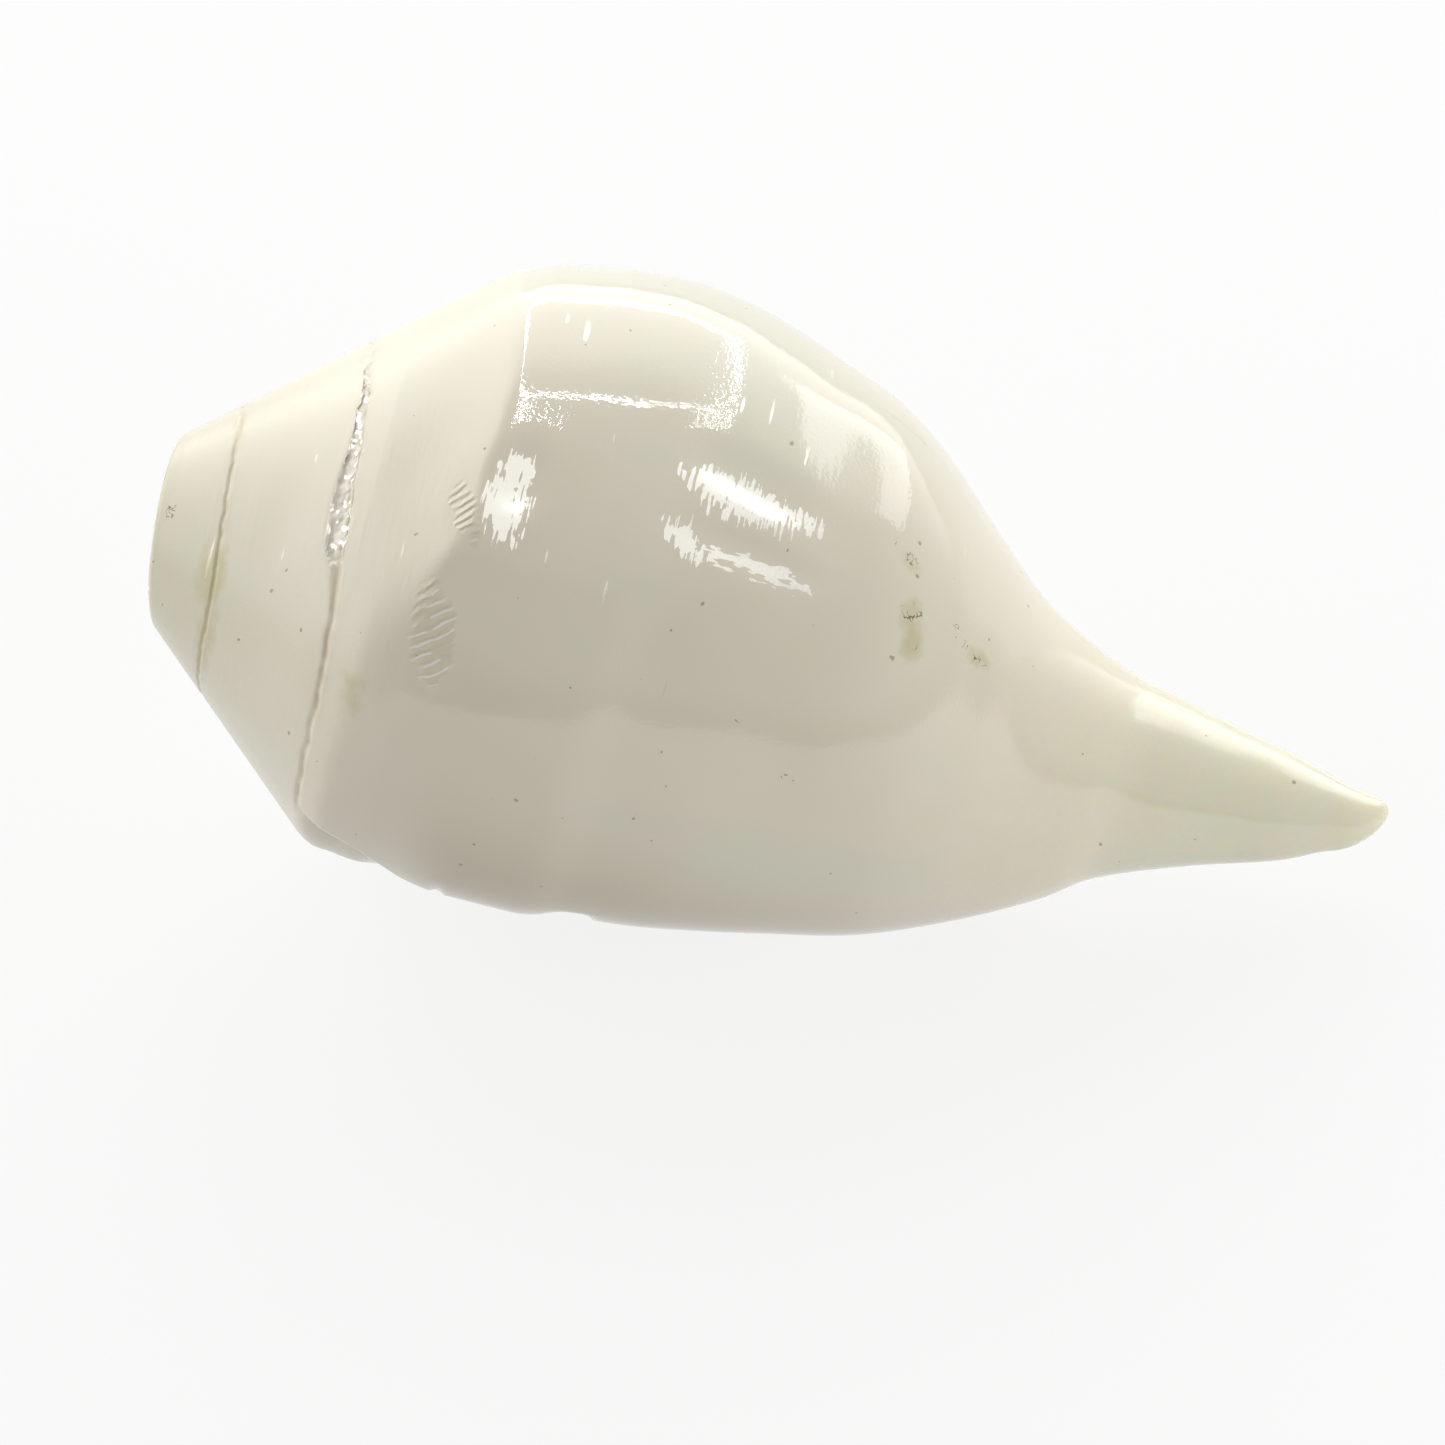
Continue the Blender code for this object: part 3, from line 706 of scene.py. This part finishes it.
def mark_places(shell, laid):
    """Stores at each corner what the finish needs to know: where it lies on the grown shell."""
    back = np.array(laid.inverted())
    places = (corners_of(shell) @ back[:3, :3].T + back[:3, 3]) / MM
    x, y, z = places.T
    radius = np.hypot(y, z)
    turn = np.degrees(np.arctan2(-y, z))
    back_turn = (lip_turn(x) - turn) % 360.0
    sunk = outer_radius(x, back_turn) - radius
    inside = fade(sunk, *INSIDE_DEPTHS) * between(x, INSIDE_FROM, (ROUNDED_FROM, TIP_X))
    mark(shell, "inside", inside)
    mark(shell, "along_axis", x * MM)
    past_shoulder = fade(x - along(SHOULDER, from_top(turn)), *GROUND_ENDS)
    mark(shell, "ground", (1.0 - past_shoulder) * (1.0 - inside))
    # Partly the lip's brown, partly painted shade where the lip faces down at the bottom
    lip = (1.0 - fade(back_turn, *LIP_BROWN_AND_SHADE_TURNS)) * between(x, LIP_BROWN_AND_SHADE_FROM, LIP_BROWN_AND_SHADE_TO)
    mark(shell, "lip", lip)
    arc = radians(1.0) * radius
    lean = radians(WRINKLE_LEAN)
    mark(shell, "across_wrinkles", turn * arc * cos(lean) + x * sin(lean))
    mark_seams(shell, x, back_turn, sunk, 1.0 - inside)
    mark_ovals(shell, x, turn, arc)


def rgb(colour):
    return (*colour, 1.0)


class Wiring:
    """Adds nodes to a material's tree or the world's, and wires them up."""

    def __init__(self, tree):
        self.nodes = tree.nodes
        self.links = tree.links

    def fill(self, node, inputs):
        """Wires an output into each of these inputs, or sets a plain value."""
        for name, value in inputs.items():
            if isinstance(value, bpy.types.NodeSocket):
                self.links.new(value, node.inputs[name])
            else:
                node.inputs[name].default_value = value
        return node

    def node(self, kind, inputs, **choices):
        node = self.nodes.new(kind)
        for name, value in choices.items():
            setattr(node, name, value)
        return self.fill(node, inputs)

    def math(self, operation, first, *others):
        """One operation on the first value and each of the others in turn."""
        for other in others or (0.0,):
            node = self.node("ShaderNodeMath", {0: first, 1: other}, operation=operation)
            first = node.outputs[0]
        return first

    def times(self, *values):
        return self.math("MULTIPLY", *values)

    def total(self, *values):
        return self.math("ADD", *values)

    def largest(self, *values):
        return self.math("MAXIMUM", *values)

    def around_zero(self, value, spread):
        """A noise's value, moved from around 0.5 to around 0 and stretched."""
        return self.times(self.math("SUBTRACT", value, 0.5), spread)

    def remap(self, value, low, high, to_low=0.0, to_high=1.0, smoothly=True):
        inputs = {"Value": value, "From Min": low, "From Max": high, "To Min": to_low,
                  "To Max": to_high}
        course = "SMOOTHSTEP" if smoothly else "LINEAR"
        return self.node("ShaderNodeMapRange", inputs, interpolation_type=course).outputs["Result"]

    def blend(self, share, first, second):
        """Mixes two numbers."""
        return self.node("ShaderNodeMix", {0: share, 2: first, 3: second}).outputs[0]

    def mix(self, share, first, second):
        """Mixes two colours."""
        inputs = {0: share, 6: first, 7: second}
        return self.node("ShaderNodeMix", inputs, data_type="RGBA").outputs[2]

    def mapped(self, place, change, amount):
        """A place turned or scaled, as change says."""
        inputs = {"Vector": place, change: amount}
        return self.node("ShaderNodeMapping", inputs).outputs["Vector"]

    def parts(self, place):
        return self.node("ShaderNodeSeparateXYZ", {0: place}).outputs


class Finish(Wiring):
    """One material, wired from the object's own coordinates and marks."""

    def __init__(self, name):
        self.material = bpy.data.materials.new(name)
        self.material.use_nodes = True
        super().__init__(self.material.node_tree)

    def shade(self, inputs):
        """Wires or sets these inputs of the shader, and gives the material."""
        self.fill(self.nodes["Principled BSDF"], inputs)
        return self.material

    def object_place(self):
        return self.node("ShaderNodeTexCoord", {}).outputs["Object"]

    def attribute(self, name):
        return self.node("ShaderNodeAttribute", {}, attribute_name=name).outputs["Fac"]

    def noise(self, place, scale, detail, roughness=0.5):
        """Noise with this many lumps to a metre."""
        inputs = {"Vector": place, "Scale": scale, "Detail": detail, "Roughness": roughness}
        return self.node("ShaderNodeTexNoise", inputs).outputs["Fac"]

    def bump(self, height, unit):
        """Bumps of this height in units of this length."""
        inputs = {"Height": height, "Distance": unit}
        return self.node("ShaderNodeBump", inputs).outputs["Normal"]


class ShellFinish(Finish):
    """The shell's finish, with the coordinates and grains that its patterns share."""

    def __init__(self, settings):
        super().__init__("polished_shell")
        self.settings = settings
        self.plain = self.shell_place((1.0, 1.0, 1.0))
        self.growth = self.shell_place((1.0, 0.35, 0.35))
        self.scratch = self.shell_place((1.0, 0.10, 0.10))
        self.lengthwise = self.shell_place((0.22, 1.0, 1.0))
        self.cloud = self.around_zero(self.noise(self.plain, 480.0, 3.0), 1.6)
        self.fine_grain = self.noise(self.plain, 1100.0, 1.0)
        self.fine_lines = self.noise(self.scratch, 2600.0, 1.0)

    def shell_place(self, scale):
        """The object's coordinates, turned so that X runs along the coiling axis, then scaled."""
        level = self.mapped(self.object_place(), "Rotation", (0.0, -radians(TILT), 0.0))
        return self.mapped(level, "Scale", scale)

    def tint(self, colour, other, share):
        """Mixes one of the settings' colours into the colour."""
        return self.mix(share, colour, rgb(getattr(self.settings, other)))

    def cloudy_cream(self):
        """Cream with warm and cool clouds, and faint bands of growth."""
        warm = self.remap(self.noise(self.plain, 38.0, 2.0), 0.38, 0.66)
        colour = self.tint(rgb(self.settings.cream), "warm", warm)
        cool = self.remap(self.noise(self.lengthwise, 55.0, 3.0), 0.48, 0.72)
        colour = self.tint(colour, "cool", self.times(cool, 0.55))
        bands = self.remap(self.noise(self.growth, 240.0, 4.0, 0.6), 0.5, 0.75)
        return self.tint(colour, "warm", self.times(bands, 0.18))

    def tinted_parts(self, colour):
        """Tints the canal, the lip, the chamber and the cut end of the spire; the canal's tint is partly
        a painted glow and the lip's partly painted shade.
        """
        place = self.attribute("along_axis")
        # Painted glow: the canal is tinted near white for light through its thin wall, as well as for its
        # yellowish cream
        colour = self.tint(colour, "canal", self.remap(place, *CANAL_TINT_AND_GLOW))
        # Painted shade: the lip's tint is darker than its brown alone, for the shade on its down-facing
        # edge
        colour = self.tint(colour, "lip", self.times(self.attribute("lip"), 0.9))
        colour = self.tint(colour, "aperture", self.times(self.attribute("inside"), 0.7))
        spire, rim = self.remap(place, *SPIRE_TINT), self.remap(place, *RIM_TINT)
        return self.tint(colour, "cut_rim", self.largest(spire, rim))

    def dirt(self, colour):
        """Adds dirt in the seams, ochre stains, short fine cracks and specks."""
        spots = self.remap(self.noise(self.plain, 420.0, 2.0), 0.35, 0.6)
        colour = self.tint(colour, "seam", self.times(self.attribute("seam"), spots, 0.8))
        stain = self.remap(self.total(self.attribute("stained"), self.cloud), -0.1, 1.1)
        colour = self.tint(colour, "stain", self.times(stain, 0.75))
        cracks = self.math("ABSOLUTE", self.around_zero(self.fine_grain, 1.0))
        cracks = self.remap(cracks, 0.012, 0.03, 1.0, 0.0)
        broken = self.remap(self.noise(self.plain, 800.0, 0.0), 0.46, 0.54)
        cracks = self.times(cracks, broken, self.remap(self.attribute("pitted"), 0.0, 0.35))
        specks = self.remap(self.noise(self.plain, 900.0, 0.0), 0.86, 0.88, 0.0, 0.6)
        return self.tint(colour, "pit", self.largest(cracks, specks))

    def wrinkles(self):
        """Where the surface is wrinkled, and its ridges between -1 and 1."""
        wrinkled = self.remap(self.total(self.attribute("wrinkled"), self.cloud), 0.0, 0.5)
        uneven = self.around_zero(self.noise(self.plain, 300.0, 3.0), 7.0)
        across = self.times(self.attribute("across_wrinkles"), RIDGE_TURNS)
        return wrinkled, self.math("SINE", self.total(across, uneven))

    def crest_highlights(self, wrinkled, ridges):
        """Painted highlights: the tops of the ridges made lighter, broken into short lengths."""
        broken = self.remap(self.noise(self.plain, 520.0, 0.0), 0.36, 0.5)
        return self.times(self.remap(ridges, 0.5, 1.0), wrinkled, broken)

    def metal_highlights(self):
        """Where the surface is made bright metal: worn patches, scratches and chips, partly wear and
        partly painted highlights placed where the dents, the upper part and the recess catch the light.
        """
        grit = self.around_zero(self.fine_grain, 1.4)
        streaks = self.around_zero(self.fine_lines, 3.0)
        long_streaks = self.around_zero(self.noise(self.lengthwise, 1500.0, 1.0), 6.0)
        burnish_and_highlight = self.total(self.attribute("burnish_and_highlight"), self.total(streaks, grit))
        scored_and_highlight = self.total(self.attribute("scored_and_highlight"), self.total(long_streaks, grit))
        scratches = self.remap(self.noise(self.scratch, 1300.0, 0.0), 0.80, 0.84)
        # Painted highlight: scratches flash only high up, by height above the floor
        height = self.parts(self.object_place())["Z"]
        lit_top_scratched = self.times(self.remap(height, *LIT_SCRATCHES_ABOVE),
                               self.remap(self.noise(self.plain, 45.0, 1.0), 0.42, 0.55))
        glints = self.times(self.remap(self.fine_grain, 0.60, 0.66), self.attribute("recess"))
        return self.largest(self.remap(burnish_and_highlight, 0.18, 0.34), self.remap(scored_and_highlight, 0.22, 0.38),
                            self.times(scratches, lit_top_scratched), glints)

    def relief(self, wrinkled, ridges):
        """Brushed lines, a faint grain, chips and wrinkles, in millimetres."""
        brushed = self.total(self.times(self.attribute("ground"), 0.02), 0.006)
        chips = self.times(self.noise(self.plain, 700.0, 1.0), self.attribute("recess"))
        return self.total(self.times(self.fine_lines, brushed),
                          self.times(self.noise(self.plain, 2400.0, 0.0), 0.010),
                          self.times(chips, 0.6),
                          self.times(ridges, wrinkled, 0.095))


def polished_finish(settings):
    """Polished porcelain-like shell: cloudy cream, with stains, scratches and thin warm edges, painted
    highlights, a painted glow in the canal and painted shade along the lip.
    """
    look = ShellFinish(settings)
    wrinkled, ridges = look.wrinkles()
    colour = look.dirt(look.tinted_parts(look.cloudy_cream()))
    colour = look.tint(colour, "stain", look.times(wrinkled, 0.28))
    # Painted highlight: the tops of the wrinkles' ridges are lightened
    colour = look.tint(colour, "burnish_and_highlight", look.crest_highlights(wrinkled, ridges))
    # Partly the recess's paler facets, partly painted light that lifts the shade in the groove
    colour = look.tint(colour, "burnish_and_highlight", look.times(look.attribute("recess"), 0.25))
    # Painted highlights: patches, upper scratches and chips are made white and metallic
    bright = look.metal_highlights()
    ground = look.times(look.attribute("ground"), 0.2)
    return look.shade({
        "Base Color": look.tint(colour, "burnish_and_highlight", bright),
        "Roughness": look.total(ground, settings.roughness, look.times(bright, 0.2)),
        "Metallic": look.times(bright, 0.95),
        "Normal": look.bump(look.relief(wrinkled, ridges), MM),
        "IOR": 1.53,
        "Subsurface Weight": look.remap(look.attribute("along_axis"), *TRANSLUCENT),
        "Subsurface Radius": (1.0, 0.72, 0.42),
        "Subsurface Scale": 0.002,
    })


def floor_finish(settings):
    return Finish("pale_floor").shade({
        "Base Color": rgb(settings.floor),
        "Roughness": 0.6,
        "Specular IOR Level": 0.1,
        "Emission Color": (1.0, 1.0, 1.0, 1.0),
        "Emission Strength": settings.floor_glow,
    })


def colour_setting(name, description, default):
    return bpy.props.FloatVectorProperty(name=name, description=description, default=default,
                                         subtype="COLOR", min=0.0, max=1.0)


def light_setting(name, description, default):
    return bpy.props.FloatProperty(name=name, description=description, default=default, min=0.0)


class ConchFinishSettings(bpy.types.PropertyGroup):
    """Colours and gloss of the shell."""
    cream: colour_setting("Cream", "Main colour of the polished shell", (0.87, 0.825, 0.67))
    warm: colour_setting("Warm cloud", "Faint pinkish clouds in the shell", (0.86, 0.79, 0.645))
    cool: colour_setting("Cool cloud", "Faint greenish clouds in the shell", (0.80, 0.805, 0.66))
    # Canal: partly the canal's own yellowish cream, partly a painted glow for light through the thin
    # canal
    canal: colour_setting("Canal", "Yellowish cream at the tip of the canal", (1.0, 0.89, 0.71))
    # Lip: partly the lip's brown, partly painted shade on its down-facing lower edge
    lip: colour_setting("Lip", "Brownish tint along the outer lip", (0.54, 0.45, 0.29))
    aperture: colour_setting("Aperture", "Colour inside the shell", (0.85, 0.74, 0.60))
    cut_rim: colour_setting("Cut rim", "Greenish ochre at the cut spire", (0.74, 0.71, 0.54))
    seam: colour_setting("Seam", "Dirt along the sutures", (0.62, 0.52, 0.33))
    stain: colour_setting("Stain", "Ochre earth stains", (0.66, 0.60, 0.34))
    pit: colour_setting("Pit", "Dark dirt in pits and specks", (0.24, 0.21, 0.12))
    # Bright patches: partly worn patches, partly painted highlights on ridge tops, in the recess and on
    # the metal patches
    burnish_and_highlight: colour_setting("Burnished", "Bright patches and chips", (0.98, 0.96, 0.88))
    roughness: bpy.props.FloatProperty(
        name="Roughness", description="Roughness of the polish between the scratches",
        default=0.06, min=0.0, max=1.0, subtype="FACTOR")


class ConchStageSettings(bpy.types.PropertyGroup):
    """Floor, camera and light."""
    floor: colour_setting("Floor", "Colour of the floor", (0.12, 0.12, 0.12))
    floor_glow: light_setting("Floor glow", "Light up through the floor, as on a light table", 0.84)
    floor_size: bpy.props.FloatProperty(
        name="Floor size", description="Length of the floor's sides", default=6.0, min=0.5,
        unit="LENGTH")
    lens: bpy.props.FloatProperty(
        name="Lens", description="Focal length of the camera in millimetres",
        default=CAMERA_LENS, min=10.0)
    back_wall: light_setting("Back wall", "Brightness of the room behind the shell", 2.40)
    front_wall: light_setting("Front wall", "Brightness of the room in front of the shell", 0.51)
    window_edge: light_setting("Window edge", "Brightness of the lamps round the window", 30.0)
    side_panel: light_setting("Side panel", "Brightness of the low panel to the right", 6.5)
    side_door: light_setting("Side door", "Brightness of the doorway mirrored at the right", 2.4)
    ceiling: light_setting("Ceiling", "Brightness of the ceiling as the polish mirrors it", 0.9)
    from_below: light_setting("From below", "Light thrown back up by the floor", 0.35)


class CONCH_OT_make_shell(bpy.types.Operator):
    """Model the polished shell: outside, chamber, blow hole and canal in one piece"""
    bl_idname = "conch.make_shell"
    bl_label = "Make Polished Shell"

    def execute(self, context):
        shell = make_outside()
        for make in (make_hollow, make_blow_hole, make_canal):
            cut_away(shell, make())
        laid = lay_down(shell)
        select_only(shell)
        bpy.ops.object.shade_smooth_by_angle(angle=radians(MOST_SMOOTHED))
        flatten_cut(shell, laid)
        mark_places(shell, laid)
        shell.data.materials.clear()
        shell.data.materials.append(polished_finish(context.scene.conch_finish))
        if len(shell.data.vertices) < 1000:
            raise RuntimeError("the shell came out empty")
        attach(shell, "root")
        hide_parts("shell")
        return {"FINISHED"}


class CONCH_OT_set_stage(bpy.types.Operator):
    """Lay the pale floor, hang the lights and stand the camera"""
    bl_idname = "conch.set_stage"
    bl_label = "Set Stage"

    def execute(self, context):
        settings = context.scene.conch_stage
        bpy.ops.object.select_all(action="DESELECT")
        bpy.ops.mesh.primitive_plane_add(size=settings.floor_size)
        floor = context.active_object
        floor.name = "floor"
        floor.data.materials.append(floor_finish(settings))
        floor.visible_diffuse = False
        light_room(settings)
        add_lamps(settings)
        add_camera(context, settings)
        return {"FINISHED"}


class CONCH_PT_panel(bpy.types.Panel):
    """Sizes, colours and the makers of the conch shell"""
    bl_idname = "CONCH_PT_panel"
    bl_label = "Blowing Conch Shell"
    bl_space_type = "VIEW_3D"
    bl_region_type = "UI"
    bl_category = "Conch"

    def draw(self, context):
        for group in (context.scene.conch_finish, context.scene.conch_stage):
            for name in group.__annotations__:
                self.layout.prop(group, name)
        self.layout.operator(CONCH_OT_make_shell.bl_idname)
        self.layout.operator(CONCH_OT_set_stage.bl_idname)


def strip_light(name, start, end, width, brightness):
    """A long narrow lamp between two points, facing the shell."""
    start, end = Vector(start), Vector(end)
    light = bpy.data.lights.new(name, "AREA")
    light.shape = "RECTANGLE"
    light.size, light.size_y = (end - start).length, width
    light.energy = brightness * pi * light.size * width
    lamp = bpy.data.objects.new(name, light)
    bpy.context.scene.collection.objects.link(lamp)
    lamp.location = (start + end) / 2
    outward = lamp.location.normalized()
    across = outward.cross(end - start).normalized()
    lengthwise = across.cross(outward)
    lamp.rotation_euler = Matrix((lengthwise, across, outward)).transposed().to_euler()
    return lamp


def light_room(settings):
    """A bright wall behind the shell and a dim room in front of it, as a white studio has."""
    world = bpy.data.worlds.new("studio")
    bpy.context.scene.world = world
    world.use_nodes = True
    room = Wiring(world.node_tree)
    way = room.node("ShaderNodeTexCoord", {}).outputs["Generated"]
    way = room.parts(room.mapped(way, "Rotation", (0.0, 0.0, radians(LIGHT_ASIDE))))
    behind, up = way["Y"], way["Z"]
    mirrored = room.node("ShaderNodeLightPath", {}).outputs["Is Glossy Ray"]

    walls = room.remap(behind, *WALLS_MEET, settings.front_wall, settings.back_wall)
    walls = room.times(walls, room.remap(up, *OVERHEAD), room.remap(up, *HORIZON))
    in_front = room.times(mirrored, room.remap(behind, *IN_FRONT, smoothly=False))
    walls = room.times(walls, room.blend(in_front, 1.0, room.remap(up, *SKIRTING)))
    ceiling = room.times(mirrored, room.remap(up, *CEILING, 0.0, settings.ceiling))
    above_floor = room.remap(up, *FLOOR_ENDS, smoothly=False)
    strength = room.blend(above_floor, settings.from_below, room.largest(walls, ceiling))
    room.fill(room.nodes["Background"], {"Color": rgb(ROOM_COLOUR), "Strength": strength})


def add_lamps(settings):
    """The window's edges and the door, which only the polish mirrors, and a low panel that it doesn't."""
    for number, (start, width) in enumerate(WINDOW):
        end = WINDOW[(number + 1) % len(WINDOW)][0]
        edge = strip_light("window_edge_%d" % (number + 1), start, end, width, settings.window_edge)
        edge.visible_diffuse = False
    strip_light("side_panel", *SIDE_PANEL, settings.side_panel).visible_glossy = False
    strip_light("side_door", *SIDE_DOOR, settings.side_door).visible_diffuse = False


def add_camera(context, settings):
    azimuth, elevation = radians(SIGHT_AZIMUTH), radians(SIGHT_ELEVATION)
    away = Vector((sin(azimuth) * cos(elevation), -cos(azimuth) * cos(elevation), sin(elevation)))
    right = Vector((0.0, 0.0, 1.0)).cross(away).normalized()
    up = away.cross(right).normalized()
    middle = FULL_FRAME / 2.0
    sight = right * ((middle - SIGHT_PIXEL[0]) / FOCAL_PIXELS)
    sight = sight - up * ((middle - SIGHT_PIXEL[1]) / FOCAL_PIXELS) - away
    camera = bpy.data.cameras.new("camera")
    camera.lens = settings.lens
    camera.sensor_width = SENSOR_WIDTH
    stand = bpy.data.objects.new("camera", camera)
    context.scene.collection.objects.link(stand)
    stand.location = CAMERA_PLACE
    stand.rotation_euler = sight.to_track_quat("-Z", "Y").to_euler()
    context.scene.camera = stand
    context.scene.view_settings.view_transform = "Standard"


CLASSES = (ConchFinishSettings, ConchStageSettings, CONCH_OT_make_shell, CONCH_OT_set_stage,
           CONCH_PT_panel)


def register():
    for cls in CLASSES:
        bpy.utils.register_class(cls)
    bpy.types.Scene.conch_finish = bpy.props.PointerProperty(type=ConchFinishSettings)
    bpy.types.Scene.conch_stage = bpy.props.PointerProperty(type=ConchStageSettings)


def unregister():
    del bpy.types.Scene.conch_stage
    del bpy.types.Scene.conch_finish
    for cls in reversed(CLASSES):
        bpy.utils.unregister_class(cls)


def main():
    register()
    bpy.ops.conch.make_shell()
    bpy.ops.conch.set_stage()


if __name__ == "__main__":
    main()
